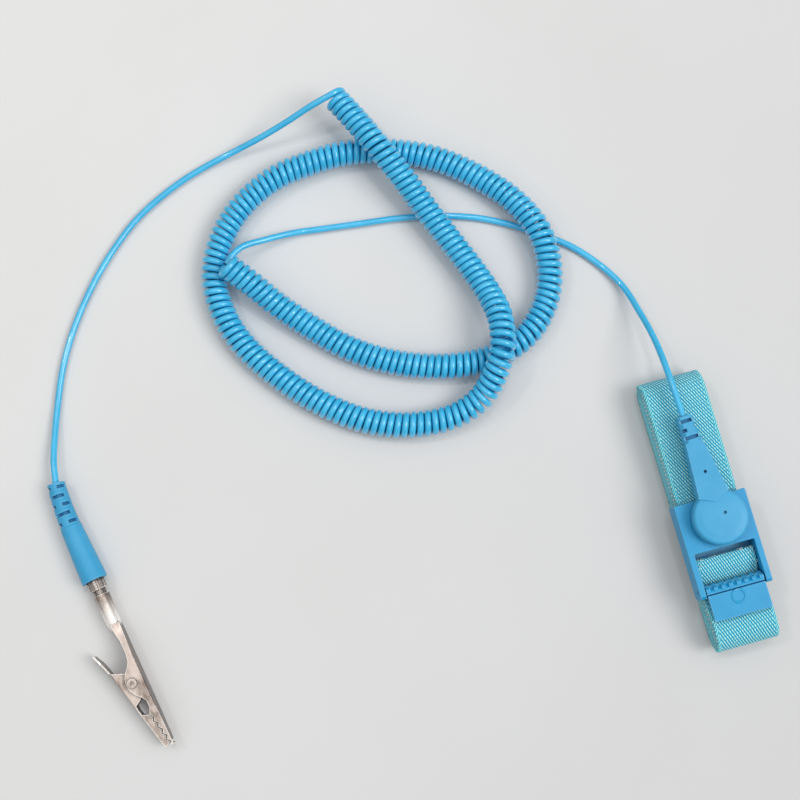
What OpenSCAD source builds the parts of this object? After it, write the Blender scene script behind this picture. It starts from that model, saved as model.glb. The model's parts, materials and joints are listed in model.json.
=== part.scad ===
// Wrist strap for earthing a person: elastic band with a clamp buckle, a press-stud
// connector on a curly cord, and a spring clip pushed on to a banana plug.
// Millimetres. Origin under the middle of the flattened wrist loop, +Y towards the
// end where the cord leaves, +Z up.

/* [Wristband] */
// Width of the elastic band
band_w = 19; // [17:0.5:20]
// Thickness of the elastic band
band_t = 1.2; // [1:0.1:1.3]
// Length of the flattened loop
loop_l = 84; // [80:1:100]
// Height of the flattened loop
loop_h = 12; // [12:0.5:16]

/* [Buckle] */
// Thickness of each side wall
cheek_t = 1.85; // [1.6:0.05:2]
// Far edge of the buckle, from the middle of the loop
buckle_far = 3.2; // [2.8:0.1:3.6]
// Near end of the side walls
buckle_near = -25.4; // [-26:0.1:-25]
// Far edge of the window that the band shows in
window_far = -12; // [-12.4:0.1:-11.8]
// Length of the lever's finger tab beyond its pivot
tab_l = 9.4; // [8:0.2:10]
// Number of ribs on the lever's clamping cam
rib_count = 8; // [6:1:9]

/* [Press stud] */
// Sideways place of the stud
stud_x = 0.7; // [0:0.1:1]
// Lengthways place of the stud
stud_y = -3.2; // [-3.4:0.1:-3]
// Radius of the stud's ball
ball_r = 2; // [1.9:0.05:2]

/* [Cord connector] */
// Radius of the round cap
cap_r = 8.35; // [8.2:0.05:8.6]
// Thickness of the cap
cap_t = 4.5; // [4.3:0.1:5]
// Length from the stud to the end of the strain relief
arm_l = 31.6; // [31.6:0.1:32]
// Turn of the arm from straight ahead
arm_turn = 3.2; // [3:0.1:3.4]

/* [Cord] */
// Diameter of the cord
cord_d = 2.1; // [1.8:0.1:2.1]
// Outer diameter of the curly part
coil_d = 8.4; // [8:0.1:8.4]

/* [Plug and clip] */
// Radius of the boot's big end
boot_r = 4; // [3.6:0.1:4]
// Length of the boot's plain taper
boot_l = 18; // [17:0.5:20]
// Outer radius of the clip's rolled barrel
barrel_r = 2.45; // [2.4:0.05:2.6]
// Sheet thickness of the clip
sheet_t = 0.45; // [0.4:0.05:0.5]
// Radius of the clip's rivet
rivet_r = 0.9; // [0.8:0.05:1]

/* [Hidden] */
$fn = 48;

// Heights of the buckle's layers, from the band's top face
frame_top = loop_h + 2.5;
plate_under = loop_h + 0.7;
frame_low = loop_h - 5.4;
contact_t = 0.5;
buckle_x = band_w / 2 + 1.6;
inner_x = buckle_x - cheek_t;
bend_r = (loop_h - band_t) / 2;
bend_y = loop_l / 2 - loop_h / 2;

// Clamp: the cam's rib circle sits below the pivot, so it bites when the tab is down
clamp_z = frame_low + 1.6;
rib_r = 2;
rib_drop = 0.8;
rib_back = 0.3;
pivot_y = -23.3;
bar_l = 4.2;
floor_t = 0.5;
pivot_z = clamp_z + band_t / 2 + 0.1 + rib_r + rib_drop;
pin_r = 0.8;
pin_gap = 0.05;
hub_r = 1.3;

// Press stud and its socket
stud_z = frame_top;
flange_t = 0.5;
eyelet_r = 1.6;
cap_z = stud_z + 0.7;
arm_z = stud_z + 0.6;
relief_z = arm_z + 2;
relief_w = 5.4;
relief_end_w = 4.5;
relief_h = 4.4;
relief_l = 8;
slot_w = 1;
wire_r = 0.3;
resistor_y = 12.6;
resistor_l = 6.3;
crimp_l = 3.2;

// Boot, plug and clip, along the plug's own axis
plug_at = [-185.1, 28.4, boot_r];
plug_turn = -79.6;
relief_rows = 5;
relief_pitch = 2.84;
relief_bend = 1.6;
pin_core_r = 1.5;
sleeve_r = 1.98;
barrel_bore = 2.05;
barrel_from = 4.8;
barrel_to = 14.2;
barrel_end_r = 2.3;
neck_to = 17;
neck_r = 1.4;
rivet_u = 33;
rivet_v = -1.8;
ear_half = 3.1;
jaw_half = 2.5;
handle_half = 2.9;
tooth_pitch = 2.2;
tooth_h = 0.8;
tooth_rise = 0.42;
tooth_n = 5;
back_v = 1.9;
fold_r = 0.6;
fold_h = 14;

// Route of the lead from the clip's boot to the curly part
lead_clip_route = [
    [-189.75, 60.25, 4], [-188.9, 67, 3.6], [-187, 75, 2.2], [-184.2, 84, 1.2],
    [-180.4, 94, 1.1], [-175.6, 103.3, 1.1], [-169.6, 112.3, 1.1], [-162.3, 121.2, 1.1],
    [-154.2, 129.2, 1.1], [-146.3, 135.5, 1.1], [-137.3, 140.5, 1.1], [-128, 144.4, 1.1],
    [-119, 147, 1.3], [-110, 148.6, 2.8], [-101, 149.8, 5.8], [-92, 151.2, 9.6],
    [-84, 152.8, 13], [-76.6, 154.6, 15.1]];
// Centre line of the curly part, from the clip's end to the strap's end
coil_route = [
    [-76, 154, 12], [-72, 146, 12.6], [-67, 135, 12.6], [-62, 124, 10], [-57.2, 112.4, 7.4],
    [-53, 102, 6.6], [-49, 92, 6.6], [-46, 82, 8.4], [-45, 73, 11.6], [-46.7, 64.2, 12.8],
    [-50.5, 57.3, 10.4], [-57, 51, 6.2], [-67, 48, 4.3], [-80, 49, 4.2], [-93, 54, 4.2],
    [-105, 63, 4.2], [-115, 74, 4.2], [-123, 86, 4.2], [-127, 98, 4.2], [-127, 110, 4.2],
    [-122, 121, 4.2], [-113, 130, 4.2], [-101, 136, 4.2], [-88, 138, 4.2], [-75, 138, 4.2],
    [-62, 134.5, 4.2], [-50, 129, 4.2], [-39, 120, 4.4], [-30, 109, 5.6], [-25, 97, 6.6],
    [-25, 85, 5.4], [-29, 75, 4.3], [-37, 67, 4.2], [-48, 63, 4.2], [-60, 63, 4.2],
    [-72, 66, 4.2], [-83, 71, 4.2], [-93, 78, 4.2], [-102, 87, 4.6], [-110, 96, 6.2],
    [-116, 104, 8.8], [-122, 111, 11.2]];
// Route of the lead from the curly part to the wristband's connector
lead_strap_route = [
    [-123.1, 112.8, 8.4], [-116.9, 116.3, 6.6], [-108, 117.7, 3.6], [-99, 118, 1.6],
    [-90, 117, 1.1], [-78, 115.5, 1.1], [-66, 114, 1.1], [-54, 111.5, 1.1],
    [-43, 108, 1.1], [-33, 103, 1.1], [-24, 97, 1.1], [-16, 91, 1.1], [-9, 83, 1.1],
    [-4, 74, 2.4], [-2, 64, 6], [-1.2, 55, 10.6], [-1.2, 47, 14.4],
    [-1.3, 39, 16.6], [-1.1, 28.4, 17.1]];

sky = [0.25, 0.65, 0.85];
nickel = [0.75, 0.72, 0.68];

// ---- helpers ----

function unit(v) = v / norm(v);
function tangent(p, i) =
    unit(p[min(i + 1, len(p) - 1)] - p[max(i - 1, 0)]);
function ring(c, t, r, n) =
    let (s = unit(cross(t, [0, 0, 1])), u = cross(s, t))
    [for (k = [0:n - 1]) c + r * (cos(360 * k / n) * s + sin(360 * k / n) * u)];

// Round tube swept along a route, one ring at each point
module tube(route, r, n) {
    m = len(route);
    points = [for (i = [0:m - 1]) each ring(route[i], tangent(route, i), r, n)];
    sides = [for (i = [0:m - 2], k = [0:n - 1])
        let (a = i * n + k, b = i * n + (k + 1) % n)
        each [[a, b, b + n], [a, b + n, a + n]]];
    start = [for (k = [0:n - 1]) n - 1 - k];
    end = [for (k = [0:n - 1]) (m - 1) * n + k];
    polyhedron(points = points, faces = concat([start], sides, [end]));
}

// Points of an arc in a plane
function arc(cx, cy, r, from, to, steps) =
    [for (i = [0:steps]) let (a = from + (to - from) * i / steps)
        [cx + r * cos(a), cy + r * sin(a)]];

// Outline of a strip of thickness t along a centre line
function side_of(p, i, d) =
    let (q = unit(p[min(i + 1, len(p) - 1)] - p[max(i - 1, 0)])) p[i] + d * [-q[1], q[0]];
function strip(p, t) = concat(
    [for (i = [0:len(p) - 1]) side_of(p, i, t / 2)],
    [for (i = [len(p) - 1:-1:0]) side_of(p, i, -t / 2)]);

// Solid from an outline in Y and Z, centred across X
module across(width) {
    translate([-width / 2, 0, 0]) rotate([90, 0, 90]) linear_extrude(width) children();
}

// Rectangle with round corners, made of exact arcs
module round_rect(x, y, r) {
    square([x - 2 * r, y], center = true);
    square([x, y - 2 * r], center = true);
    for (sx = [-1, 1], sy = [-1, 1])
        translate([sx * (x / 2 - r), sy * (y / 2 - r)]) circle(r);
}

module along_y(y, z) { translate([0, y, z]) rotate([-90, 0, 0]) children(); }
module along_x(u, v = 0, w = 0) { translate([u, v, w]) rotate([0, 90, 0]) children(); }

module at_stud() { translate([stud_x, stud_y, 0]) rotate([0, 0, arm_turn]) children(); }
module at_plug() { translate(plug_at) rotate([0, 0, plug_turn]) children(); }

// ---- wristband ----

// Centre line of the band from its fixed end, round the wrist, under the cam and up
// into the window, where the tail ends
band_line = concat(
    [[0.3, loop_h - band_t / 2]],
    arc(bend_y, loop_h / 2, bend_r, 90, -90, 14),
    arc(-bend_y, loop_h / 2, bend_r, -90, -270, 14),
    [[-33.5, loop_h - 0.8], [-31, loop_h - 1.7], [-28.4, clamp_z + 0.9],
     [-26, clamp_z + 0.1], [-23.6, clamp_z], [-21.4, clamp_z + 0.3],
     [-19.4, clamp_z + 1.5], [-17.6, clamp_z + 2.6], [-15.8, clamp_z + 3],
     [-14.2, clamp_z + 2.7]]);

module elastic_band() {
    squeeze = inner_x - 0.1;
    color([0.1, 0.6, 0.7]) difference() {
        across(band_w) polygon(strip(band_line, band_t));
        // gathered between the buckle's side walls
        for (side = [-1, 1])
            translate([side * (squeeze + 1) - 1, buckle_near - 0.6, frame_low - 0.1])
                cube([2, buckle_far - buckle_near + 1.2, 8]);
    }
}

module cheek_outline() {
    polygon([[buckle_far, frame_low], [buckle_far, frame_top],
             [buckle_near + 0.8, frame_top], [buckle_near, frame_top - 0.8],
             [buckle_near, frame_low + 1], [buckle_near + 0.8, frame_low]]);
}

module buckle_frame() {
    color(sky) difference() {
        union() {
            for (side = [-1, 1])
                translate([side * (inner_x + cheek_t / 2), 0, 0])
                    across(cheek_t) cheek_outline();
            // top plate with a rib that holds the band's fixed end
            across(2 * inner_x + 0.2) polygon([
                [window_far, plate_under], [window_far, frame_top],
                [buckle_far, frame_top], [buckle_far, plate_under],
                [1.6, plate_under], [1.6, loop_h + 0.05], [0.8, loop_h + 0.05],
                [0.8, plate_under]]);
            // far wall below the band
            translate([-inner_x - 0.1, buckle_far - 0.9, frame_low])
                cube([2 * inner_x + 0.2, 0.9, loop_h - 1.5 - frame_low]);
            // floor under the clamped band, and the bar under the cam
            translate([-inner_x - 0.1, pivot_y, frame_low])
                cube([2 * inner_x + 0.2, buckle_far - pivot_y - 0.5, floor_t]);
            translate([-inner_x - 0.1, pivot_y - 1.4, frame_low])
                cube([2 * inner_x + 0.2, bar_l, clamp_z - band_t / 2 - 0.1 - frame_low]);
            translate([stud_x, stud_y, frame_low])
                cylinder(h = frame_top - frame_low, r = 2.8);
        }
        translate([stud_x, stud_y, frame_low - 1]) cylinder(h = 12, r = eyelet_r + 0.02);
        along_x(-buckle_x - 1, pivot_y, pivot_z) cylinder(h = 2 * buckle_x + 2, r = pin_r);
    }
}

module contact_plate() {
    color(nickel) translate([0, -11, frame_low - contact_t]) difference() {
        linear_extrude(contact_t) round_rect(2 * buckle_x - 1.6, 27, 1.5);
        translate([stud_x, stud_y + 11, -1]) cylinder(h = 3, r = eyelet_r + 0.02);
    }
}

module band_retainer() {
    color([0.2, 0.5, 0.75])
        translate([-inner_x, 0.1, frame_low + 0.6])
            cube([2 * inner_x, 1.9, loop_h - band_t - frame_low - 0.65]);
}

module snap_stud() {
    color(nickel) translate([stud_x, stud_y, stud_z]) rotate_extrude() difference() {
        polygon(concat([[0, 0], [5, 0], [5, flange_t], [2.4, flange_t],
                        [ball_r - 0.3, 0.8]],
                       arc(0, 1.9, ball_r, -20, 40, 6),
                       [[0.9, 3.4], [0, 3.4]]));
        translate([-1, -1]) square([eyelet_r + 1.02, 2]);
    }
}

module stud_eyelet() {
    color(nickel) translate([stud_x, stud_y, frame_low - contact_t - 0.4]) difference() {
        union() {
            cylinder(h = 0.4, r = 3.4);
            cylinder(h = stud_z + 0.9 - (frame_low - contact_t - 0.4), r = eyelet_r);
        }
        translate([0, 0, 0.6]) cylinder(h = 20, r = 1.1);
    }
}

module clamp_lever() {
    hub_x = inner_x - 0.35;
    rib_x = 1.25;
    rib_pitch = (2 * hub_x - rib_x) / (rib_count - 1);
    color(sky) difference() {
        union() {
            along_x(-hub_x, pivot_y, pivot_z) cylinder(h = 2 * hub_x, r = hub_r);
            for (k = [0:rib_count - 1])
                along_x(-hub_x + k * rib_pitch, pivot_y - rib_back, pivot_z - rib_drop)
                    cylinder(h = rib_x, r = rib_r);
            // bar that slopes down between the ribs, a groove, and the finger tab
            across(2 * hub_x) polygon([
                [pivot_y + 0.9, pivot_z + 0.9], [pivot_y - 0.3, pivot_z + 2],
                [pivot_y - 0.6, pivot_z + 2.2], [pivot_y - 1.25, pivot_z + 2.2],
                [pivot_y - 1.3, pivot_z + 1.5], [pivot_y - 1.55, pivot_z + 1.5],
                [pivot_y - 1.6, pivot_z + 2.5], [pivot_y - tab_l, pivot_z + 2.5],
                [pivot_y - tab_l, pivot_z + 1.1], [pivot_y - 2.8, pivot_z + 1.1],
                [pivot_y - 1.4, pivot_z - 0.2]]);
            // upper halves of the ribs
            for (k = [0:rib_count - 1])
                translate([-hub_x + k * rib_pitch + rib_x / 2, 0, 0]) across(rib_x) polygon([
                    [pivot_y + 0.8, pivot_z + 0.6], [pivot_y + 1, pivot_z + 1.3],
                    [pivot_y + 0.7, pivot_z + 2.1], [pivot_y + 0.3, pivot_z + 2.35],
                    [pivot_y - 0.6, pivot_z + 2.35], [pivot_y - 0.6, pivot_z + 0.6]]);
            // raised ring on the tab
            translate([0, -27, pivot_z + 2.4]) rotate_extrude()
                translate([1.75, 0]) square([0.4, 0.35]);
        }
        along_x(-hub_x - 1, pivot_y, pivot_z)
            cylinder(h = 2 * hub_x + 2, r = pin_r + pin_gap);
    }
}

module lever_pin() {
    color(nickel) along_x(-buckle_x + 0.3, pivot_y, pivot_z)
        cylinder(h = 2 * buckle_x - 0.6, r = pin_r);
}

// ---- cord connector on the stud ----

// Arm as seen from above, with its blunt point lapping over the cap
module arm_outline() {
    polygon([[0, 4.5], [4.7, 6.8], [relief_w / 2, arm_l - relief_l],
             [-relief_w / 2, arm_l - relief_l], [-4.7, 6.8]]);
}

// Taper of the strain relief as seen from above
module relief_outline() {
    polygon([[-relief_w / 2, arm_l - relief_l - 1], [relief_w / 2, arm_l - relief_l - 1],
             [relief_end_w / 2, arm_l], [-relief_end_w / 2, arm_l]]);
}

module relief_section() {
    h = relief_h / 2;
    w = relief_w / 2;
    polygon([[-w, -h + 1.2], [-w + 1.2, -h], [w - 1.2, -h], [w, -h + 1.2],
             [w, h - 1.2], [w - 1.2, h], [-w + 1.2, h], [-w, h - 1.2]]);
}

module snap_head() {
    arm_h = 4.8;
    color(sky) at_stud() difference() {
        union() {
            translate([0, 0, cap_z]) rotate_extrude() polygon(concat(
                [[0, 0], [cap_r - 0.4, 0], [cap_r, 0.4]],
                arc(cap_r - 1.2, cap_t - 1.5, 1.2, 0, 70, 6),
                [[cap_r - 2.6, cap_t - 0.05], [0, cap_t + 0.1]]));
            translate([0, 0, arm_z]) linear_extrude(arm_h) arm_outline();
            intersection() {
                along_y(arm_l - relief_l - 1, relief_z) linear_extrude(relief_l + 1)
                    relief_section();
                linear_extrude(30) relief_outline();
            }
        }
        // socket pocket, resistor channel and crimp pocket
        translate([0, 0, cap_z - 1]) cylinder(h = 1.8, r = 6.05);
        translate([0, 0, cap_z]) cylinder(h = 3.45, r = 3.45);
        along_y(3, relief_z) cylinder(h = resistor_y - 2.8, r = wire_r + 0.02);
        along_y(resistor_y, relief_z) cylinder(h = resistor_l, r = 1.17);
        along_y(resistor_y + resistor_l - 0.2, relief_z)
            cylinder(h = 3, r = wire_r + 0.02);
        along_y(resistor_y + resistor_l + 2, relief_z) cylinder(h = crimp_l, r = 0.82);
        // the arm's top slopes down to the strain relief
        across(14) polygon([
            [9, arm_z + arm_h], [arm_l - relief_l, relief_z + relief_h / 2],
            [arm_l - relief_l, arm_z + 8], [9, arm_z + 8]]);
        // core-pin holes
        translate([1.4, 0.8, cap_z + cap_t - 0.8]) cylinder(h = 2, r = 0.45);
        translate([0, 14, arm_z + arm_h - 1.4]) cylinder(h = 2, r = 0.45);
        // strain-relief slots: each is its place along the arm, its start and its length
        for (slot = [[24.9, -2, 4], [27.3, -4, 3.2], [28, 1.8, 3], [30, -1.7, 3.4]])
            translate([slot[1], slot[0] - slot_w / 2, relief_z + 0.5])
                cube([slot[2], slot_w, 3]);
    }
}

// Female half of the press stud
module snap_socket() {
    color(nickel) at_stud() translate([0, 0, cap_z]) difference() {
        union() {
            translate([0, 0, 0.1]) cylinder(h = 0.6, r = 6);
            cylinder(h = 3.4, r = 3.4);
        }
        translate([0, 0, -1]) cylinder(h = 3.9, r = ball_r + 0.3);
        translate([0, 0, 0.35]) cylinder(h = 0.9, r = 2.95);
    }
}

// Split ring that grips the stud's neck
module socket_spring() {
    color([0.8, 0.8, 0.82]) at_stud() translate([0, 0, cap_z + 0.5]) difference() {
        cylinder(h = 0.6, r = ball_r + 0.6);
        translate([0, 0, -1]) cylinder(h = 3, r = ball_r + 0.06);
        translate([0, -0.6, -1]) cube([4, 1.2, 3]);
    }
}

module resistor() {
    color([0.8, 0.7, 0.5]) at_stud()
        along_y(resistor_y, relief_z) cylinder(h = resistor_l, r = 1.15);
}

module resistor_leads() {
    color(nickel) at_stud() {
        along_y(3.4, relief_z) cylinder(h = resistor_y - 3.4, r = wire_r);
        along_y(resistor_y + resistor_l, relief_z) cylinder(h = 2, r = wire_r);
    }
}

module wire_crimp() {
    color([0.8, 0.75, 0.5]) at_stud()
        along_y(resistor_y + resistor_l + 2, relief_z) cylinder(h = crimp_l, r = 0.8);
}

// ---- cord ----

module lead_strap() { color(sky) tube(lead_strap_route, cord_d / 2, 8); }
module lead_clip() { color(sky) tube(lead_clip_route, cord_d / 2, 8); }
module coil_cord() { color(sky) tube(coil_route, coil_d / 2, 12); }

// ---- boot and plug ----

// Cutter of a slot round the strain relief, centred on an angle from the top
module ring_slot(centre, width) {
    depth_r = 1.5;
    a = 180 - centre;
    linear_extrude(slot_w) polygon(concat(
        arc(0, 0, depth_r, a - width / 2, a + width / 2, 4),
        arc(0, 0, 6, a + width / 2, a - width / 2, 2)));
}

// One row of the bent strain relief, and the rows beyond it
module relief_row(k) {
    r = boot_r - 0.9 - 0.09 * k;
    rotate([0, 0, -relief_bend]) {
        along_x(-relief_pitch) difference() {
            cylinder(h = relief_pitch + 0.1, r = r);
            translate([0, 0, 0.9]) {
                if (k % 2 == 0)
                    for (centre = [44, -68, 168]) ring_slot(centre, 66);
                else
                    for (q = [0:1]) ring_slot(-10 + 180 * q, 108);
            }
        }
        if (k < relief_rows - 1)
            translate([-relief_pitch, 0, 0]) relief_row(k + 1);
    }
}

module plug_boot() {
    color(sky) at_plug() difference() {
        union() {
            along_x(-boot_l) cylinder(h = boot_l, r1 = boot_r - 0.7, r2 = boot_r);
            translate([-boot_l + 0.05, 0, 0]) relief_row(0);
        }
        along_x(-14) cylinder(h = 20, r = 2.32);
        along_x(-boot_l) cylinder(h = 5, r = 0.62);
    }
}

// Stranded conductor, bared and soldered into the plug's cup
module plug_conductor() {
    color([0.85, 0.5, 0.3]) at_plug() along_x(-boot_l + 0.1) cylinder(h = 8, r = 0.6);
}

module banana_plug() {
    rib_n = 10;
    color(nickel) at_plug() difference() {
        union() {
            // turned body, shoulder, pin and nose
            along_x(-14) rotate_extrude() polygon([
                [0, 0], [2.3, 0], [2.3, 14.2], [1.95, 14.2], [1.95, 19.4],
                [pin_core_r, 19.4], [pin_core_r, 26.4], [1.95, 26.4], [1.95, 27.4],
                [1.2, 27.9], [0, 27.9]]);
            // ribbed collar
            along_x(0) linear_extrude(3.2) polygon([for (k = [0:rib_n - 1])
                let (a = 360 * k / rib_n)
                for (q = [[-9, 2.45], [-7, 2.75], [7, 2.75], [9, 2.45]])
                    q[1] * [cos(a + q[0]), sin(a + q[0])]]);
        }
        along_x(-15) cylinder(h = 5.2, r = 0.65);
    }
}

// Slotted sleeve that presses on the barrel's wall
module plug_spring() {
    slots = 6;
    color([0.8, 0.78, 0.72]) at_plug() difference() {
        along_x(5.6) rotate_extrude() polygon([
            [pin_core_r + pin_gap, 0], [1.75, 0], [sleeve_r, 2], [sleeve_r, 4.6],
            [1.75, 6.6], [pin_core_r + pin_gap, 6.6]]);
        for (k = [0:slots - 1]) rotate([60 * k, 0, 0])
            translate([6.6, -0.2, 1]) cube([4.6, 0.4, 2]);
    }
}

// ---- clip: a fixed half with the barrel, and a sprung jaw ----

// Zigzag of the teeth, from the root towards the tip
function teeth(from) = [for (k = [0:tooth_n - 1]) each [
    [from[0] + k * tooth_pitch, from[1] + k * tooth_rise],
    [from[0] + (k + 0.5) * tooth_pitch, from[1] + (k + 0.5) * tooth_rise + tooth_h]]];

// Width of each half along the clip, as an outline in U and Z
module body_width(inset) {
    outline = [[14, ear_half - 0.9], [17.5, ear_half - 0.5], [22, ear_half - 0.2],
               [28, ear_half], [39, ear_half], [54.5, 2.1]];
    polygon(concat([for (p = outline) [p[0], p[1] - inset]],
                   [for (i = [len(outline) - 1:-1:0])
                       [outline[i][0], -outline[i][1] + inset]]));
}
module jaw_width(inset) {
    outline = [[20.8, 2], [24, handle_half], [28, jaw_half], [39, jaw_half],
               [54.4, 1.5]];
    polygon(concat([for (p = outline) [p[0], p[1] - inset]],
                   [for (i = [len(outline) - 1:-1:0])
                       [outline[i][0], -outline[i][1] + inset]]));
}

module lay_width() { translate([0, 12, 0]) rotate([90, 0, 0]) linear_extrude(24) children(); }

module body_side() {
    polygon(concat(
        [[14.6, back_v], [14.6, -0.9], [17, -0.6], [20, -0.1], [24, 0], [26.6, -0.4],
         [28.2, -1.3], [29.4, -2.5], [31, -3.4], [33, -3.7],
         [35, -3.4], [36.8, -2.3], [38.2, -0.8], [39.4, 0], [41.4, 0], [42.8, -0.5]],
        teeth([43.6, -0.9]),
        [[54.4, 0.9], [54.4, back_v]]));
}

module jaw_side() {
    polygon(concat(
        [[27.6, -7.1], [28.8, -4.4], [30, -1.4], [31.5, 0.1], [33, 0.6],
         [35, 0.2], [37, -0.8], [38.6, -1.7], [39.7, -3.6], [42.7, -3.4]],
        teeth([43.6, -1.35]),
        [[54, 0.3], [54.3, -0.85]]));
}

module clip_body() {
    inside = back_v - sheet_t;
    color(nickel) at_plug() difference() {
        union() {
            intersection() {
                translate([0, 0, -5]) linear_extrude(10) body_side();
                lay_width() body_width(0);
                // folded edges along the back
                along_x(14, back_v - fold_h / 2) linear_extrude(42)
                    round_rect(2 * ear_half, fold_h, fold_r);
            }
            along_x(barrel_from)
                cylinder(h = barrel_to - barrel_from, r1 = barrel_r, r2 = barrel_end_r);
            // crimped neck
            along_x(barrel_to) cylinder(h = neck_to - barrel_to, r1 = barrel_end_r, r2 = neck_r);
        }
        intersection() {
            translate([0, 0, -5]) linear_extrude(10)
                polygon([[neck_to, inside], [neck_to, -6], [55, -6], [55, inside]]);
            lay_width() body_width(sheet_t);
        }
        along_x(barrel_from - 1)
            cylinder(h = barrel_to - barrel_from + 1.1, r = barrel_bore);
        along_x(barrel_to) cylinder(h = neck_to - barrel_to + 0.1,
                                    r1 = barrel_bore, r2 = neck_r - 0.4);
        // seam of the rolled barrel
        translate([barrel_from - 1, -barrel_r - 1, -0.25]) cube([11, 1.8, 0.5]);
        translate([rivet_u, rivet_v, -6]) cylinder(h = 12, r = rivet_r);
    }
}

module clip_jaw() {
    back_from = [27.6, -6.9];
    back_to = [54.2, -0.65];
    back_turn = atan2(back_to[1] - back_from[1], back_to[0] - back_from[0]);
    color([0.7, 0.67, 0.62]) at_plug() difference() {
        intersection() {
            union() {
                translate([0, 0, -5]) linear_extrude(10) jaw_side();
                // back strip and curled handle
                translate([0, 0, -5]) linear_extrude(10) polygon(strip([
                    [20.9, -9.4], [22, -8.95], [23.4, -8.3], [25, -7.7], back_from,
                    back_to], sheet_t));
            }
            lay_width() jaw_width(0);
            // folded edges along the back, beyond the handle
            union() {
                translate(back_from) rotate([0, 0, back_turn])
                    along_x(-0.5, (fold_h - sheet_t) / 2) linear_extrude(30)
                        round_rect(2 * jaw_half, fold_h, fold_r);
                translate([15, -15, -5]) cube([back_from[0] - 15, 20, 10]);
            }
        }
        intersection() {
            translate([0, 0, -5]) linear_extrude(10)
                polygon([[26.5, 3], [26.5, -6.75], [54.6, -0.15], [54.6, 3]]);
            lay_width() jaw_width(sheet_t);
        }
        translate([rivet_u, rivet_v, -6]) cylinder(h = 12, r = rivet_r + pin_gap);
    }
}

module clip_rivet() {
    head_r = 1.45;
    color([0.85, 0.83, 0.8]) at_plug() translate([rivet_u, rivet_v, 0]) {
        translate([0, 0, -ear_half]) cylinder(h = 2 * ear_half, r = rivet_r);
        for (side = [0, 1]) mirror([0, 0, side]) translate([0, 0, ear_half])
            difference() {
                cylinder(h = 0.5, r = head_r);
                translate([0, 0, 0.25]) cylinder(h = 1, r = 0.5);
            }
    }
}

// Torsion spring round the rivet, with one leg along the spine
module clip_spring() {
    turn_n = 6;
    wire = 0.5;
    color([0.6, 0.6, 0.62]) at_plug() translate([rivet_u, rivet_v, 0]) {
        for (k = [0:turn_n - 1])
            translate([0, 0, (k - (turn_n - 1) / 2) * (wire - 0.02)])
                rotate_extrude() translate([1.35, 0]) circle(wire / 2, $fn = 16);
        translate([-7, 2.7, -1.45]) rotate([0, 90, 0]) cylinder(h = 7, r = wire / 2);
        translate([0, 1.35, -1.45]) rotate([-90, 0, 0]) cylinder(h = 1.4, r = wire / 2);
    }
}

elastic_band();
buckle_frame();
contact_plate();
band_retainer();
snap_stud();
stud_eyelet();
clamp_lever();
lever_pin();
snap_head();
snap_socket();
socket_spring();
resistor();
resistor_leads();
wire_crimp();
lead_strap();
coil_cord();
lead_clip();
plug_boot();
plug_conductor();
banana_plug();
plug_spring();
clip_body();
clip_jaw();
clip_rivet();
clip_spring();
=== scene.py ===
"""Looks of the wrist strap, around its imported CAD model, in metres and in the model's frame."""

import json
import math

import bpy
import numpy as np
from mathutils import Matrix, Vector


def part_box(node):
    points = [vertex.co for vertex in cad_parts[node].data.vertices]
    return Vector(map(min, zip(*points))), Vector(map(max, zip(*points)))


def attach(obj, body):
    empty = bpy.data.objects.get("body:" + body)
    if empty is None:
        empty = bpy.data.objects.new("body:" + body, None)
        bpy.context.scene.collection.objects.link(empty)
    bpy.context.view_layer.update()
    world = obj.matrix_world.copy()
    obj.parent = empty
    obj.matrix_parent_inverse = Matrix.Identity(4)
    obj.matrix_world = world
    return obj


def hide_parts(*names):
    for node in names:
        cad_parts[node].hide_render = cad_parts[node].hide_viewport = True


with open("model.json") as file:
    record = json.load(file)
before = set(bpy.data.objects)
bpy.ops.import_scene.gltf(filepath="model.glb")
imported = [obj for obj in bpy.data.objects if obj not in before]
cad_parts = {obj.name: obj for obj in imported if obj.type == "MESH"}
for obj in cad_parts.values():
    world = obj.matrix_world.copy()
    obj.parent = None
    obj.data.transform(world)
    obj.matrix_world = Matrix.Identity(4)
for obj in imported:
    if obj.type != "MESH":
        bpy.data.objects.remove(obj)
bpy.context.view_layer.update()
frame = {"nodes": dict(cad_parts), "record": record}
MM = 0.001
NODES = frame["nodes"]
SCENE = bpy.context.scene


# ---- small tools ----


def smooth_line(points, per):
    """A Catmull-Rom line through the points, with that many steps between each two."""
    p = np.array(points, float)
    p = np.vstack([2 * p[0] - p[1], p, 2 * p[-1] - p[-2]])
    out = []
    for i in range(1, len(p) - 2):
        a, b, c, d = p[i - 1 : i + 3]
        for t in np.arange(per) / per:
            out.append(
                0.5
                * (
                    2 * b
                    + (c - a) * t
                    + (2 * a - 5 * b + 4 * c - d) * t**2
                    + (3 * b - a - 3 * c + d) * t**3
                )
            )
    return np.array([*out, p[-2]])


def spaced(line, step):
    """The line again, with points about step apart."""
    gaps = np.linalg.norm(np.diff(line, axis=0), axis=1)
    along = np.concatenate([[0], np.cumsum(gaps)])
    at = np.linspace(0, along[-1], max(2, round(along[-1] / step) + 1))
    return np.stack([np.interp(at, along, line[:, k]) for k in range(3)], axis=1)


def eased(values, width):
    """The values smoothed over an odd number of points, with as many points as before."""
    window = np.hanning(width)
    padded = np.pad(values, width // 2, mode="edge")
    return np.convolve(padded, window / window.sum(), "valid")


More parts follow.
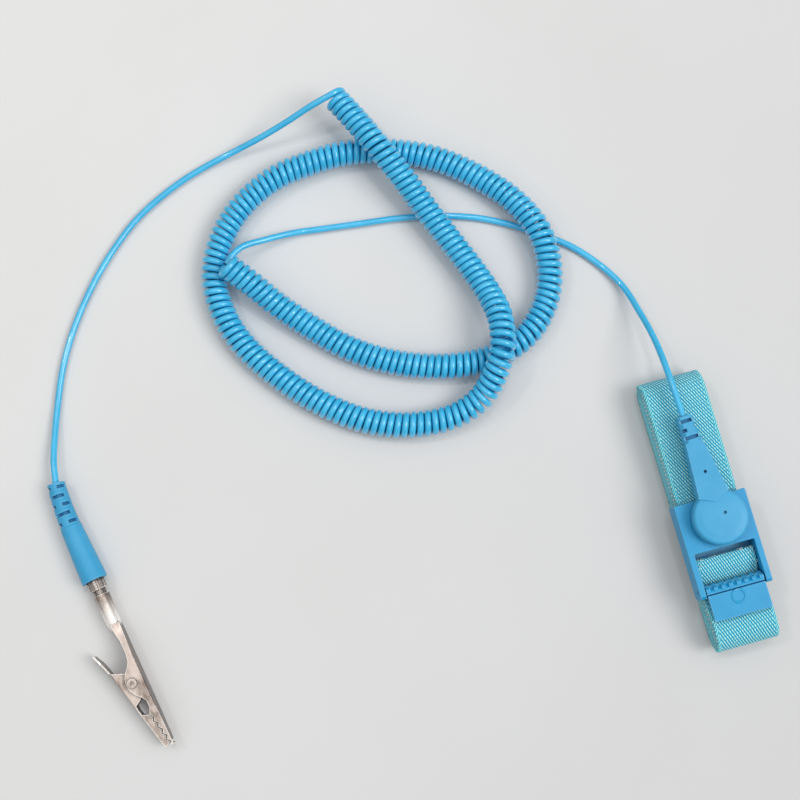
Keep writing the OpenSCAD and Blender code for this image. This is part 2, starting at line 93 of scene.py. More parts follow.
def curve_piece(name, lines, radius, sides=2):
    """Round strands of one radius along the lines."""
    data = bpy.data.curves.new(name, "CURVE")
    data.dimensions = "3D"
    data.bevel_depth = radius
    data.bevel_resolution = sides
    data.use_fill_caps = True
    for line in lines:
        spline = data.splines.new("POLY")
        spline.points.add(len(line) - 1)
        spline.points.foreach_set(
            "co", np.hstack([line, np.ones((len(line), 1))]).ravel().astype(np.float32)
        )
        spline.use_smooth = True
    piece = bpy.data.objects.new(name, data)
    SCENE.collection.objects.link(piece)
    return piece


# ---- camera ----


CAMERA_AT = (-0.09695, -0.00083, 0.433)
CAMERA_RIGHT = Vector((0.9646, -0.2639, 0))
CAMERA_UP = Vector((0.2613, 0.9552, 0.1392))
SENSOR, LENS = 36, 63


def make_camera():
    data = bpy.data.cameras.new("camera")
    data.sensor_width, data.lens = SENSOR, LENS
    data.clip_start, data.clip_end = 0.01, 20
    camera = bpy.data.objects.new("camera", data)
    SCENE.collection.objects.link(camera)
    axes = Matrix((CAMERA_RIGHT, CAMERA_UP, CAMERA_RIGHT.cross(CAMERA_UP)))
    camera.matrix_world = Matrix.Translation(CAMERA_AT) @ axes.transposed().to_4x4()
    SCENE.camera = camera


make_camera()

# ---- cord ----

# Sizes and routes in mm. The routes are those of the CAD model.
CORD_D = 2.1
COIL_R = 3.15
TURN_GAP = 0.03
LEAD_CLIP_ROUTE = [
    (-189.75, 60.25, 4), (-188.9, 67, 3.6), (-187, 75, 2.2), (-184.2, 84, 1.2),
    (-180.4, 94, 1.1), (-175.6, 103.3, 1.1), (-169.6, 112.3, 1.1), (-162.3, 121.2, 1.1),
    (-154.2, 129.2, 1.1), (-146.3, 135.5, 1.1), (-137.3, 140.5, 1.1), (-128, 144.4, 1.1),
    (-119, 147, 1.3), (-110, 148.6, 2.8), (-101, 149.8, 5.8), (-92, 151.2, 9.6),
    (-84, 152.8, 13), (-76.6, 154.6, 15.1),
]  # fmt: skip
COIL_ROUTE = [
    (-76, 154, 12), (-72, 146, 12.6), (-67, 135, 12.6), (-62, 124, 10), (-57.2, 112.4, 7.4),
    (-53, 102, 6.6), (-49, 92, 6.6), (-46, 82, 8.4), (-45, 73, 11.6), (-46.7, 64.2, 12.8),
    (-50.5, 57.3, 10.4), (-57, 51, 6.2), (-67, 48, 4.3), (-80, 49, 4.2), (-93, 54, 4.2),
    (-105, 63, 4.2), (-115, 74, 4.2), (-123, 86, 4.2), (-127, 98, 4.2), (-127, 110, 4.2),
    (-122, 121, 4.2), (-113, 130, 4.2), (-101, 136, 4.2), (-88, 138, 4.2), (-75, 138, 4.2),
    (-62, 134.5, 4.2), (-50, 129, 4.2), (-39, 120, 4.4), (-30, 109, 5.6), (-25, 97, 6.6),
    (-25, 85, 5.4), (-29, 75, 4.3), (-37, 67, 4.2), (-48, 63, 4.2), (-60, 63, 4.2),
    (-72, 66, 4.2), (-83, 71, 4.2), (-93, 78, 4.2), (-102, 87, 4.6), (-110, 96, 6.2),
    (-116, 104, 8.8), (-122, 111, 11.2),
]  # fmt: skip
LEAD_STRAP_ROUTE = [
    (-123.1, 112.8, 8.4), (-116.9, 116.3, 6.6), (-108, 117.7, 3.6), (-99, 118, 1.6),
    (-90, 117, 1.1), (-78, 115.5, 1.1), (-66, 114, 1.1), (-54, 111.5, 1.1), (-43, 108, 1.1),
    (-33, 103, 1.1), (-24, 97, 1.1), (-16, 91, 1.1), (-9, 83, 1.1), (-4, 74, 2.4),
    (-2, 64, 6), (-1.2, 55, 10.6), (-1.2, 47, 14.4), (-1.3, 39, 16.6), (-1.1, 28.4, 17.1),
]  # fmt: skip


def helix():
    """The curly part's line, and its number of turns. The turns are left-handed, nearly touch
    on the inside of a bend and fan out on its outside."""
    step = 0.1
    line = spaced(smooth_line(COIL_ROUTE, 24), step)
    tangent = np.gradient(line, axis=0)
    tangent /= np.linalg.norm(tangent, axis=1)[:, None]
    bend = np.linalg.norm(np.gradient(tangent, axis=0), axis=1) / step
    pitch = (CORD_D + TURN_GAP) / (1 - COIL_R * eased(bend, 121))
    angle = np.cumsum(2 * math.pi * step / pitch)
    angle -= angle[0]
    turns = math.floor(angle[-1] / (2 * math.pi))
    angle *= (2 * math.pi * turns + math.pi) / angle[-1]
    side = np.cross(tangent, (0, 0, 1))
    side /= np.linalg.norm(side, axis=1)[:, None]
    over = np.cross(side, tangent)
    at = np.linspace(0, angle[-1], 20 * turns + 10)
    index = np.interp(at, angle, np.arange(len(line)))

    def pick(values):
        return np.stack(
            [np.interp(index, np.arange(len(line)), values[:, k]) for k in range(3)],
            axis=1,
        )

    c, s = np.cos(at)[:, None], np.sin(at)[:, None]
    return pick(line) + COIL_R * (c * pick(over) - s * pick(side)), turns


def make_cord():
    coil, turns = helix()
    per = 8
    clip_end = smooth_line([*LEAD_CLIP_ROUTE[:-1], *coil[:6:2]], per)[: -2 * per]
    strap_end = smooth_line([*coil[-6::2], *LEAD_STRAP_ROUTE[1:]], per)[2 * per :]
    line = np.vstack([clip_end[:-1], coil, strap_end[1:]]) * MM
    length = float(np.linalg.norm(np.diff(line, axis=0), axis=1).sum())
    print(f"cord: {turns} turns, {length:.3f} m, {len(line)} points")
    cord = curve_piece("cord", [line[::-1]], CORD_D / 2 * MM, 3)
    return cord, line, length


cord, cord_line, cord_length = make_cord()

# ---- materials ----


def srgb(r, g, b):
    """A colour given as it looks on a screen, 0 to 255, as Blender's linear values."""
    return tuple(
        c / 12.92 if c <= 0.04045 else ((c + 0.055) / 1.055) ** 2.4
        for c in (r / 255, g / 255, b / 255)
    ) + (1.0,)


class Finish:
    """A node material built by short calls. Each call gives an output socket."""

    def __init__(self, name, **sockets):
        self.material = bpy.data.materials.new(name)
        self.material.use_nodes = True
        self.tree = self.material.node_tree
        self.shader = self.tree.nodes["Principled BSDF"]
        for key, value in sockets.items():
            self.shader.inputs[key.replace("_", " ")].default_value = value

    def node(self, kind, out=0, inputs=(), **settings):
        made = self.tree.nodes.new("ShaderNode" + kind)
        for key, value in settings.items():
            setattr(made, key, value)
        for key, value in dict(inputs).items():
            if isinstance(value, bpy.types.NodeSocket):
                self.tree.links.new(value, made.inputs[key])
            else:
                made.inputs[key].default_value = value
        return made.outputs[out]

    def place(self, scale=(1, 1, 1), turn=(0, 0, 0)):
        """The row frame's coordinates in millimetres, stretched by scale."""
        return self.node(
            "Mapping",
            inputs={
                "Vector": self.node("TexCoord", "Object"),
                "Rotation": turn,
                "Scale": [1000 * s for s in scale],
            },
        )

    def noise(self, vector, scale, detail=2.0, rough=0.5):
        return self.node(
            "TexNoise",
            inputs={
                "Vector": vector,
                "Scale": scale,
                "Detail": detail,
                "Roughness": rough,
            },
        )

    def ramp(self, value, *stops):
        """Blends between the stops, each a position and a colour or a grey."""
        made = self.tree.nodes.new("ShaderNodeValToRGB")
        self.tree.links.new(value, made.inputs[0])
        ends = made.color_ramp.elements
        while len(ends) < len(stops):
            ends.new(0.5)
        for element, (at, colour) in zip(ends, stops):
            element.position = at
            element.color = (
                colour if isinstance(colour, tuple) else (colour,) * 3 + (1.0,)
            )
        return made.outputs[0]

    def mix(self, factor, a, b, blend="MIX"):
        return self.node(
            "Mix",
            2,
            inputs={0: factor, 6: a, 7: b},
            data_type="RGBA",
            blend_type=blend,
        )

    def maths(self, operation, a, b=0.0, c=0.0):
        return self.node("Math", inputs={0: a, 1: b, 2: c}, operation=operation)

    def bump(self, height, strength, distance, under=None):
        inputs = {"Height": height, "Strength": strength, "Distance": distance * MM}
        if under is not None:
            inputs["Normal"] = under
        return self.node("Bump", inputs=inputs)

    def open_part(self, reach, inside, *stops):
        """How open the space within reach mm is, outside or inside, through a ramp."""
        seen = self.node(
            "AmbientOcclusion",
            1,
            inputs={"Distance": reach * MM},
            samples=8,
            inside=inside,
            only_local=inside,
        )
        return self.ramp(seen, *stops)

    def with_painted_shade(self, colour, reach, dark, most, full=0.15, none=0.85):
        """Painted shade: the colour, turned towards dark in corners and crevices within reach, in
        mm, where shade falls.
        """
        shade = self.open_part(reach, False, (full, most), (none, 0.0))
        return self.mix(shade, colour, dark)

    def set(self, **sockets):
        for key, value in sockets.items():
            self.tree.links.new(value, self.shader.inputs[key.replace("_", " ")])
        return self


def plastic(name, base, light, rough, reach=1.2, full=0.08, none=0.8):
    """Moulded plastic: faint clouds, paler scuffs, a painted highlight on edges, painted shade in
    crevices, orange peel.
    """
    f = Finish(name, IOR=1.5)
    cloudy = f.noise(f.place(), 0.12, 3)
    fine = f.noise(f.place(), 2.4, 2)
    grain = f.noise(f.place(), 9.0, 2)
    scuffs = f.noise(f.place((0.4, 1.6, 1), (0, 0, 0.5)), 3.0, 3, 0.7)
    edge = f.open_part(0.6, True, (0.45, 0.75), (0.8, 0.0))
    colour = f.mix(f.ramp(cloudy, (0.35, 0.0), (0.7, 0.5)), base, light)
    colour = f.mix(f.ramp(scuffs, (0.66, 0.0), (0.76, 0.3)), colour, light)
    # painted highlight: rims found by the edge mask are painted pale blue
    colour = f.mix(edge, colour, srgb(150, 214, 240))
    # painted shade: the base colour turns dark blue in crevices, slots and gaps within reach
    return f.set(
        Base_Color=f.with_painted_shade(colour, reach, srgb(0, 60, 128), 0.92, full, none),
        Roughness=f.ramp(fine, (0.3, rough - 0.05), (0.7, rough + 0.07)),
        Normal=f.bump(fine, 0.12, 0.06, f.bump(grain, 0.18, 0.02)),
    )


def metal(name, base, dark, rough, brush=(1, 1, 8)):
    """Plated metal: brushed grain, smudges and hairlines, a painted highlight on edges, painted
    shade in seams and on upright sides.
    """
    f = Finish(name)
    cloudy = f.noise(f.place(), 0.16, 2)
    smudge = f.noise(f.place((1, 0.5, 1), (0, 0, 0.4)), 0.35, 3, 0.6)
    grain = f.noise(f.place(brush), 3.2, 3, 0.6)
    hair = f.noise(f.place((0.15, 6, 6), (0.3, 0.2, 0.9)), 1.0, 2)
    edge = f.open_part(0.4, True, (0.55, 1.0), (0.85, 0.0))
    upright = f.maths("ABSOLUTE", f.node("SeparateXYZ", 2, {"Vector": f.node("NewGeometry", 1)}))
    tone = f.mix(f.ramp(cloudy, (0.35, 0.0), (0.7, 0.6)), base, dark)
    tone = f.mix(f.ramp(smudge, (0.5, 0.0), (0.68, 0.8)), tone, dark)
    tone = f.mix(f.ramp(hair, (0.69, 0.0), (0.73, 0.45)), tone, dark)
    # painted shade: upright faces turn dark brown, standing in for the dark surroundings they
    # reflect
    tone = f.mix(f.ramp(upright, (0.35, 0.85), (0.75, 0.0)), tone, srgb(84, 72, 66))
    # painted highlight: rims turn near white here, and below they lose some metallic sheen so the
    # lamps light them
    tone = f.mix(edge, tone, srgb(255, 250, 244))
    return f.set(
        # painted shade: the colour turns dark brown in seams and corners within reach
        Base_Color=f.with_painted_shade(tone, 1.2, srgb(50, 42, 38), 0.95, 0.5, 0.95),
        Metallic=f.ramp(edge, (0.0, 1.0), (1.0, 0.35)),
        Roughness=f.ramp(grain, (0.25, rough - 0.06), (0.75, rough + 0.08)),
        Normal=f.bump(grain, 0.12, 0.02, f.bump(cloudy, 0.2, 0.3)),
    )


def cord_jacket(name, base, light):
    """Glossy drawn jacket: slow waves of the drawing, faint drag lines, a clear skin, and painted
    shade between the turns.
    """
    f = Finish(name, IOR=1.5)
    f.shader.inputs["Coat Weight"].default_value = 1.0
    f.shader.inputs["Coat Roughness"].default_value = 0.05
    slow = f.noise(f.place(), 0.2, 2)
    fine = f.noise(f.place(), 1.6, 2)
    colour = f.mix(f.ramp(slow, (0.35, 0.0), (0.7, 1.0)), base, light)
    return f.set(
        # painted shade: the jacket turns darker blue in the gaps between turns and where the cord
        # nears other parts
        Base_Color=f.with_painted_shade(colour, 1.0, srgb(0, 108, 178), 0.75, 0.15, 0.7),
        Roughness=f.ramp(fine, (0.3, 0.2), (0.7, 0.28)),
        Normal=f.bump(fine, 0.05, 0.05),
    )


# Elastic band and its twill. Lengths are in mm, along and across the band's own UV map.
BAND_HALF = 9.5
BAND_T = 1.2
TWILL_GAP = 0.85
FAR_TURN, NEAR_TURN = math.tan(math.radians(28)), math.tan(math.radians(25))
CLAMPED_FROM = 86.0  # the twill's slant changes here, where the clamp pulls the band
BEAD_GAP = 0.84
BEAD_SLANT = 0.4
THREAD_GAP, STITCH_GAP = 1.6, 1.3
SELVEDGE = 0.95
BACK_TURN = 1.6
INNER_SHIFT = 40.0


def webbing(name):
    """Elastic webbing: pale twill floats over teal ground, turned back at each selvedge.
    The inner face is darker, with beige conductive threads. Crevices get painted shade, and the
    whitest bead peaks are partly a painted highlight."""
    f = Finish(name, Roughness=0.72, IOR=1.45)
    f.shader.inputs["Sheen Weight"].default_value = 0.35
    f.shader.inputs["Sheen Roughness"].default_value = 0.4
    f.shader.inputs["Sheen Tint"].default_value = srgb(190, 235, 240)
    uv = f.node("UVMap", uv_map="band")
    split = f.tree.nodes.new("ShaderNodeSeparateXYZ")
    wander = f.noise(f.place(), 0.5, 2)
    f.tree.links.new(uv, split.inputs[0])
    u, v_all = split.outputs[0], split.outputs[1]
    inner = f.maths("GREATER_THAN", v_all, INNER_SHIFT / 2)
    v = f.maths("SUBTRACT", v_all, f.maths("MULTIPLY", inner, INNER_SHIFT))
    edge = f.maths("GREATER_THAN", f.maths("ABSOLUTE", v), BAND_HALF - SELVEDGE)
    turn = f.maths("SUBTRACT", 1.0, f.maths("MULTIPLY", edge, 1 + BACK_TURN))
    tight = f.maths("MAXIMUM", f.maths("SUBTRACT", u, CLAMPED_FROM), 0.0)
    slack = f.maths("MULTIPLY", f.maths("MINIMUM", u, CLAMPED_FROM), FAR_TURN)
    slant = f.maths("MULTIPLY", f.maths("MULTIPLY_ADD", tight, NEAR_TURN, slack), turn)
    drift = f.maths("MULTIPLY", f.maths("SUBTRACT", wander, 0.5), 0.35)
    rows = f.maths(
        "DIVIDE", f.maths("ADD", f.maths("ADD", v, slant), drift), TWILL_GAP
    )
    along = f.maths("DIVIDE", f.maths("ADD", u, f.maths("MULTIPLY", v, BEAD_SLANT)), BEAD_GAP)
    stagger = f.maths("MULTIPLY", f.maths("FLOOR", rows), 0.5)

    def wave(value, sharp):
        """A row of humps, one for each whole number, from 0 to 1."""
        turned = f.maths("COSINE", f.maths("MULTIPLY", value, 2 * math.pi))
        return f.maths("POWER", f.maths("MULTIPLY_ADD", turned, 0.5, 0.5), sharp)

    float_row = wave(rows, 1.15)
    bead = wave(f.maths("ADD", along, stagger), 0.8)
    fine = wave(f.maths("MULTIPLY", u, 3.1), 0.7)
    fuzz = f.noise(f.place(), 5.0, 3, 0.7)
    pale = f.maths("MULTIPLY", float_row, f.maths("MULTIPLY_ADD", bead, 0.6, 0.4))
    pale = f.maths("ADD", pale, f.maths("MULTIPLY", f.maths("SUBTRACT", fuzz, 0.5), 0.4))
    calm = f.maths("MULTIPLY_ADD", edge, -0.35, 1.0)
    pale = f.maths("MULTIPLY_ADD", pale, calm, f.maths("MULTIPLY", edge, 0.22))
    # pale yarn over teal ground; the whitest stop, at the bead peaks, is partly a painted
    # highlight
    outer_colour = f.ramp(
        pale,
        (0.02, srgb(0, 142, 184)),
        (0.2, srgb(6, 172, 206)),
        (0.4, srgb(84, 210, 226)),
        (0.64, srgb(170, 240, 236)),
        (0.95, srgb(236, 255, 244)),
    )
    dots = wave(f.maths("DIVIDE", u, STITCH_GAP), 2.0)
    thread = f.maths("MULTIPLY", wave(f.maths("DIVIDE", v, THREAD_GAP), 3.0), dots)
    inner_colour = f.mix(
        f.ramp(thread, (0.35, 0.0), (0.5, 1.0)),
        f.mix(fine, srgb(84, 200, 222), srgb(176, 238, 244)),
        srgb(255, 236, 226),
    )
    height = f.maths("ADD", f.maths("MULTIPLY", float_row, 0.7), f.maths("MULTIPLY", bead, 0.3))
    return f.set(
        # painted shade: the band turns dark teal in crevices and close gaps within reach
        Base_Color=f.with_painted_shade(f.mix(inner, outer_colour, inner_colour), 1.5, srgb(0, 96, 130), 0.6),
        Normal=f.bump(height, 0.8, 0.22, f.bump(fuzz, 0.35, 0.08)),
    )


SKY, SKY_PALE = srgb(12, 150, 204), srgb(30, 164, 214)
FINISHES = {
    "band_fabric": webbing("band_fabric"),
    "buckle_plastic": plastic("buckle_plastic", SKY, SKY_PALE, 0.42, 4.0, 0.2, 0.45),
    "overmould_plastic": plastic(
        "overmould_plastic", srgb(52, 160, 208), srgb(76, 175, 220), 0.46
    ),
    "cord_jacket": cord_jacket("cord_jacket", srgb(48, 182, 230), srgb(66, 194, 240)),
    "retainer_plastic": plastic(
        "retainer_plastic", srgb(60, 110, 150), srgb(80, 130, 170), 0.5
    ),
    "clip_steel": metal("clip_steel", srgb(232, 216, 206), srgb(136, 120, 110), 0.25),
    "plug_nickel": metal("plug_nickel", srgb(226, 216, 208), srgb(160, 148, 138), 0.2),
    "stud_nickel": metal("stud_nickel", srgb(222, 218, 212), srgb(180, 174, 166), 0.22),
    "contact_steel": metal(
        "contact_steel", srgb(205, 205, 205), srgb(165, 165, 165), 0.33, (1, 12, 1)
    ),
    "pin_steel": metal("pin_steel", srgb(210, 210, 210), srgb(160, 160, 160), 0.25),
    "spring_steel": metal("spring_steel", srgb(190, 190, 192), srgb(140, 140, 144), 0.3),
    "resistor_coat": plastic(
        "resistor_coat", srgb(214, 190, 140), srgb(226, 204, 160), 0.4
    ),
    "tinned_wire": metal("tinned_wire", srgb(215, 215, 215), srgb(175, 175, 175), 0.3),
    "crimp_brass": metal("crimp_brass", srgb(220, 190, 120), srgb(180, 150, 90), 0.3),
    "copper_strand": metal(
        "copper_strand", srgb(214, 138, 100), srgb(170, 100, 70), 0.3, (14, 1, 14)
    ),
}


def wear(piece, slot):
    """Gives a new piece the finish of that slot."""
    piece.data.materials.clear()
    piece.data.materials.append(FINISHES[slot].material)

# ---- wristband ----


def band_path():
    """The band's centre line in Y and Z, mm: from its fixed end round the loop to its tail."""
    low, high = (np.array(c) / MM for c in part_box("elastic_band"))
    middle = (low[2] + high[2]) / 2
    r = middle - BAND_T / 2
    far, near = high[1] - middle, low[1] + middle
    turn = np.radians(np.linspace(90, -90, 15))
    loop = [(far + r * math.cos(a), middle + r * math.sin(a)) for a in turn]
    loop += [(near - r * math.cos(a), middle - r * math.sin(a)) for a in turn]
    top = high[2] - BAND_T / 2
    clamped = [
        (-33.5, top - 0.2), (-31, top - 1.1), (-28.4, 9), (-26, 8.3), (-23.6, 8.2), (-21.4, 8.5),
        (-19.4, 9.7), (-17.6, 10.8), (-15.8, 11.2), (-14.2, 10.9),
    ]  # fmt: skip
    flat = [(0.3, top), (8, top), (16, top), (24, top), (31, top)]
    low_run = [(y, low[2] + BAND_T / 2) for y in (24, 12, 0, -12, -24)]
    line = flat + loop[:15] + low_run + loop[15:] + clamped
    line = [(0, y, z) for y, z in line]
    return spaced(smooth_line(line, 12), 0.2)[:, 1:]


# Points across the band's outer face, its inner face and each rounded edge
OUTER_POINTS, INNER_POINTS, EDGE_POINTS = 116, 40, 5
RIB_H, BEAD_H, LOOP_H = 0.07, 0.03, 0.11
LOOP_W = 0.9
SWAY = 0.12
GATHER, GATHER_ABOVE = 0.042, 6.5


def band_section():
    """The band's section: X, height, and the share of the weave's relief at each point."""
    flat = BAND_HALF - BAND_T / 2 + 0.25
    swing = np.radians(np.linspace(90, -90, EDGE_POINTS + 2)[1:-1])
    edge_x = (BAND_HALF - flat) * np.cos(swing)
    edge_h = BAND_T / 2 * np.sin(swing)
    outer = np.linspace(-flat, flat, OUTER_POINTS)
    inner = np.linspace(flat, -flat, INNER_POINTS)
    x = np.concatenate([outer, flat + edge_x, inner, -flat - edge_x[::-1]])
    half_t = np.full(OUTER_POINTS, BAND_T / 2), np.full(INNER_POINTS, -BAND_T / 2)
    h = np.concatenate([half_t[0], edge_h, half_t[1], edge_h[::-1]])
    edge = np.abs(np.sin(swing))
    share = np.concatenate([np.ones(OUTER_POINTS), edge, np.full(INNER_POINTS, 0.35), edge])
    return x, h, share


def gathered(path):
    """The share of its width that the band keeps at each point, between the side walls."""
    near, far = (corner[1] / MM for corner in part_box("buckle_frame"))
    y, z = path[:, 0], path[:, 1]
    rise = np.clip((y - near + 2.5) / 3, 0, 1)
    fall = np.clip((far + 2.5 - y) / 3, 0, 1)
    return 1 - GATHER * eased((z > GATHER_ABOVE) * rise * fall, 9)


def weave_relief(x, along):
    """Height of the twill's ribs and beads over the ribbon, in mm."""
    slant = FAR_TURN * np.minimum(along, CLAMPED_FROM)
    slant = slant + NEAR_TURN * np.maximum(along - CLAMPED_FROM, 0)
    turn = np.where(np.abs(x) > BAND_HALF - SELVEDGE, -BACK_TURN, 1.0)
    rows = (x[None, :] + turn[None, :] * slant[:, None]) / TWILL_GAP
    beads = (along[:, None] + BEAD_SLANT * x[None, :]) / BEAD_GAP + 0.5 * np.floor(rows)
    ribs = 0.5 + 0.5 * np.cos(2 * math.pi * rows)
    bead = 0.5 + 0.5 * np.cos(2 * math.pi * beads)
    return RIB_H * ribs + BEAD_H * ribs * bead


def wander(count):
    """A slow sideways sway along the band, in mm."""
    rng = np.random.default_rng(11)
    sway = np.cumsum(rng.normal(0, 1, count))
    sway -= np.linspace(sway[0], sway[-1], count)
    sway = eased(sway, 61)
    return sway * (SWAY / np.abs(sway).max())


def ribbon_mesh(name, verts, uv):
    """A closed ribbon through rows of points, with a UV pair for each point."""
    n, m = verts.shape[:2]
    i, j = np.meshgrid(np.arange(n - 1), np.arange(m), indexing="ij")
    k = (j + 1) % m
    quads = np.stack([i * m + j, i * m + k, (i + 1) * m + k, (i + 1) * m + j], axis=-1)
    ends = [list(range(m))[::-1], list(range((n - 1) * m, n * m))]
    mesh = bpy.data.meshes.new(name)
    mesh.from_pydata(
        (verts.reshape(-1, 3) * MM).tolist(), [], quads.reshape(-1, 4).tolist() + ends
    )
    corner = np.empty(len(mesh.loops), np.int32)
    mesh.loops.foreach_get("vertex_index", corner)
    layer = mesh.uv_layers.new(name=name)
    layer.data.foreach_set("uv", uv.reshape(-1, 2)[corner].ravel().astype(np.float32))
    mesh.shade_smooth()
    return mesh


def make_band():
    """A closed ribbon along the path. Its ribs, selvedge loops and gathers are in the mesh."""
    path = band_path()
    step = np.linalg.norm(np.diff(path, axis=0), axis=1)
    along = np.concatenate([[0], np.cumsum(step)])
    tangent = np.gradient(path, axis=0)
    tangent /= np.linalg.norm(tangent, axis=1)[:, None]
    normal = np.stack([-tangent[:, 1], tangent[:, 0]], axis=1)
    x, h, share = band_section()
    edge = np.clip((np.abs(x) - BAND_HALF + LOOP_W) / LOOP_W, 0, 1)
    loops = LOOP_H * np.cos(2 * math.pi * along / BEAD_GAP)[:, None] * edge[None, :]
    lift = h[None, :] + (np.sign(h) * share)[None, :] * weave_relief(x, along)
    verts = np.empty((len(path), len(x), 3))
    verts[:, :, 0] = x[None, :] * gathered(path)[:, None] + np.sign(x)[None, :] * loops
    verts[:, :, 0] += wander(len(path))[:, None]
    verts[:, :, 1:] = path[:, None, :] + normal[:, None, :] * lift[:, :, None]
    # the inner face's UVs are shifted, so the material can tell it
    across = np.where(h < -0.3, x + INNER_SHIFT, x)
    uv = np.stack(np.meshgrid(along, across, indexing="ij"), axis=-1)
    band = bpy.data.objects.new("band", ribbon_mesh("band", verts, uv))
    SCENE.collection.objects.link(band)
    wear(band, "band_fabric")
    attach(band, "wristband")
    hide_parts("elastic_band")


make_band()


def make_picots():
    """Stray yarn loops at the corners of the buckle's window."""
    rng = np.random.default_rng(4)
    t = np.linspace(0, 1.85 * math.pi, 15)
    loops = []
    places = [
        (8.6, -14.3, 11.6, 0.6), (8.7, -15.6, 11.8, 0.45), (-8.5, -14.2, 11.5, 0.5),
        (-8.2, -15.4, 11.9, 0.55), (-8.7, -16.8, 11.6, 0.4), (8.8, -18.6, 10.9, 0.4),
        (-6.8, -14.1, 11.3, 0.4), (5.4, -14, 11.4, 0.35),
    ]  # fmt: skip
    # the cut end's frayed threads
    places += [(x, -14.05, 11.1, rng.uniform(0.18, 0.3)) for x in np.linspace(-8, 8, 19)]
    for x, y, z, r in places:
        turn, tilt = rng.uniform(0, math.pi), rng.uniform(0.4, 0.9)
        loop = np.stack([np.cos(t), 0.75 * np.sin(t), tilt * np.cos(t + turn)], axis=1)
        loops.append((np.array([x, y, z]) + r * loop) * MM)
    piece = curve_piece("picots", loops, 0.09 * MM, 1)
    wear(piece, "band_fabric")
    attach(piece, "wristband")


make_picots()

# ---- carried-over CAD nodes ----


def clean_group():
    """Nodes that weld a CAD mesh's seams and drop its stored normals, ready for rounding."""
    group = bpy.data.node_groups.new("clean", "GeometryNodeTree")
    for way in ("INPUT", "OUTPUT"):
        group.interface.new_socket("Geometry", in_out=way, socket_type="NodeSocketGeometry")
    chain = [
        group.nodes.new(kind)
        for kind in (
            "NodeGroupInput",
            "GeometryNodeMergeByDistance",
            "GeometryNodeRemoveAttribute",
            "GeometryNodeSetShadeSmooth",
            "NodeGroupOutput",
        )
    ]
    chain[1].inputs["Distance"].default_value = 1e-6
    chain[2].inputs["Name"].default_value = "custom_normal"
    for one, two in zip(chain, chain[1:]):
        group.links.new(one.outputs[0], two.inputs[0])
    return group


CLEAN = clean_group()


def mould(node, voxel, rounds, keep):
    """Gives a moulded node soft edges and fillets, with modifiers. Its own mesh stays."""
    piece = NODES[node]
    piece.modifiers.new("weld", "WELD").merge_threshold = 1e-6
    skin = piece.modifiers.new("skin", "REMESH")
    skin.mode, skin.voxel_size, skin.use_smooth_shade = "VOXEL", voxel * MM, True
    soften = piece.modifiers.new("soften", "SMOOTH")
    soften.factor, soften.iterations = 0.5, rounds
    thin = piece.modifiers.new("thin", "DECIMATE")
    thin.ratio = keep


def press(node, width):
    """Rounds a metal node's sharp edges, with modifiers. Its own mesh stays."""
    piece = NODES[node]
    piece.modifiers.new("clean", "NODES").node_group = CLEAN
    flat = piece.modifiers.new("flat", "DECIMATE")
    flat.decimate_type, flat.angle_limit = "DISSOLVE", math.radians(0.5)
    bevel = piece.modifiers.new("bevel", "BEVEL")
    bevel.width, bevel.segments = width * MM, 3
    bevel.limit_method, bevel.angle_limit = "ANGLE", math.radians(30)
    piece.modifiers.new("normals", "WEIGHTED_NORMAL").weight = 80


for entry in frame["record"]["subparts"]:
    materials = NODES[entry["node"]].data.materials
    materials.clear()
    materials.append(FINISHES[entry["material_slot"]].material)
for name, voxel, rounds, keep in (
    ("buckle_frame", 0.14, 4, 0.3),
    ("clamp_lever", 0.12, 3, 0.35),
    ("snap_head", 0.14, 3, 0.4),
    ("plug_boot", 0.12, 3, 0.35),
):
    mould(name, voxel, rounds, keep)
for name, width in (
    ("clip_body", 0.16),
    ("clip_jaw", 0.16),
    ("clip_rivet", 0.1),
    ("banana_plug", 0.1),
    ("plug_spring", 0.05),
    ("contact_plate", 0.1),
    ("snap_stud", 0.1),
):
    press(name, width)

# ---- floor and light ----

# the room's brightness from the horizon to straight up
WORLD_BY_HEIGHT = ((0.0, 0.14), (0.35, 0.28), (0.7, 0.6), (1.0, 1.0))
WORLD_LIGHT = 1.0
FLOOR_HALF, FLOOR_Z = 3.0, -0.0002
LIGHT_TARGET = Vector((-0.09, 0.07, 0))
# name, place from the target, size and energy of each round lamp
LIGHTS = [
    ("key", (1.1, -0.5, 1.6), 1.1, 17.0),
    ("left_spot", (-0.7, 0.6, 1.6), 0.12, 2.5),
    ("right_spot", (0.25, 0.5, 1.9), 0.12, 2.5),
]


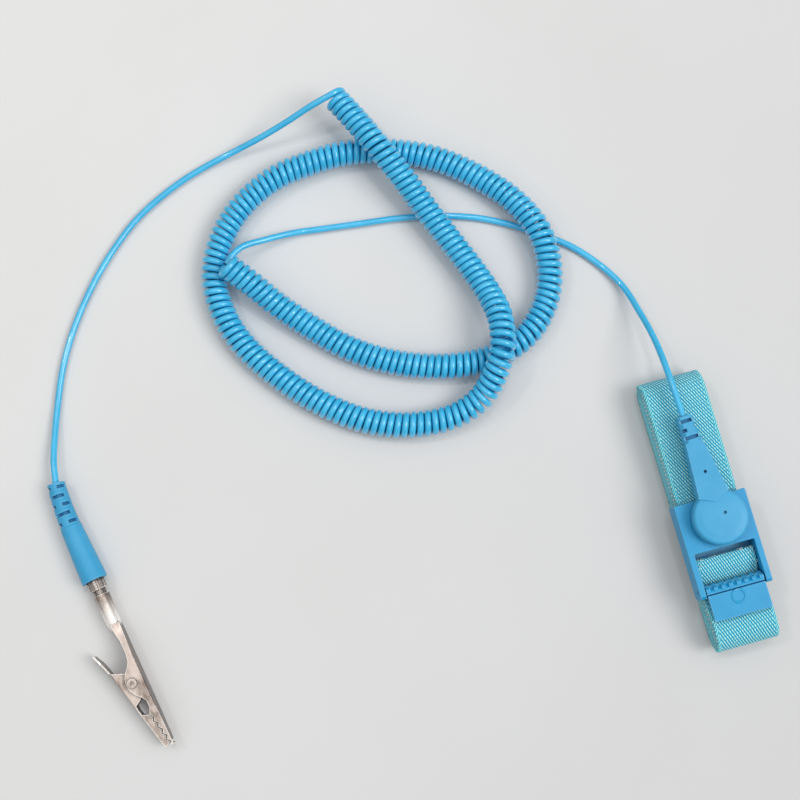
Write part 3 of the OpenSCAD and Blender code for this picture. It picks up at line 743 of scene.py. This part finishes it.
def make_world():
    """A pale room, bright overhead and dim at its horizon, for metal to reflect."""
    world = bpy.data.worlds.new("studio")
    world.use_nodes = True
    tree = world.node_tree
    place = tree.nodes.new("ShaderNodeTexCoord")
    split = tree.nodes.new("ShaderNodeSeparateXYZ")
    grade = tree.nodes.new("ShaderNodeValToRGB")
    ends = grade.color_ramp.elements
    while len(ends) < len(WORLD_BY_HEIGHT):
        ends.new(0.5)
    for end, (at, light) in zip(ends, WORLD_BY_HEIGHT):
        end.position, end.color = at, (light, light, light, 1)
    back = tree.nodes["Background"]
    back.inputs[1].default_value = WORLD_LIGHT
    tree.links.new(place.outputs["Generated"], split.inputs[0])
    tree.links.new(split.outputs[2], grade.inputs[0])
    tree.links.new(grade.outputs[0], back.inputs[0])
    SCENE.world = world


def make_floor():
    f = Finish("studio_floor", Roughness=0.75)
    cloth = f.noise(f.place(), 0.01, 4)
    grit = f.noise(f.place(), 0.6, 3)
    # painted light: the floor's colour grows paler towards -X and +Y, over half a metre, standing
    # in for the light's fall-off
    split = f.tree.nodes.new("ShaderNodeSeparateXYZ")
    f.tree.links.new(f.place(), split.inputs[0])
    side = f.maths("SUBTRACT", split.outputs[1], split.outputs[0])
    side = f.maths("MULTIPLY_ADD", side, 0.002, 0.3)
    tone = f.ramp(side, (0.0, srgb(205, 205, 206)), (1.0, srgb(227, 227, 226)))
    f.set(
        Base_Color=f.mix(f.ramp(cloth, (0.4, 0.0), (0.6, 0.1)), tone, srgb(196, 194, 190)),
        Normal=f.bump(grit, 0.15, 0.05),
    )
    mesh = bpy.data.meshes.new("floor")
    corners = [(-1, -1), (1, -1), (1, 1), (-1, 1)]
    mesh.from_pydata([(x * FLOOR_HALF, y * FLOOR_HALF, 0) for x, y in corners], [], [(0, 1, 2, 3)])
    floor = bpy.data.objects.new("floor", mesh)
    floor.location.z = FLOOR_Z
    floor.data.materials.append(f.material)
    SCENE.collection.objects.link(floor)


def make_lights():
    for name, at, size, energy in LIGHTS:
        light = bpy.data.lights.new(name, "AREA")
        light.shape, light.size, light.energy = "DISK", size, energy
        lamp = bpy.data.objects.new(name, light)
        lamp.location = LIGHT_TARGET + Vector(at)
        lamp.rotation_mode = "QUATERNION"
        lamp.rotation_quaternion = Vector(at).to_track_quat("Z", "Y")
        SCENE.collection.objects.link(lamp)


make_world()
make_floor()
make_lights()
SCENE.view_settings.view_transform = "Standard"

# ---- the cord's finish and body ----

wear(cord, "cord_jacket")
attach(cord, "cord")
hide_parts("coil_cord", "lead_clip", "lead_strap")
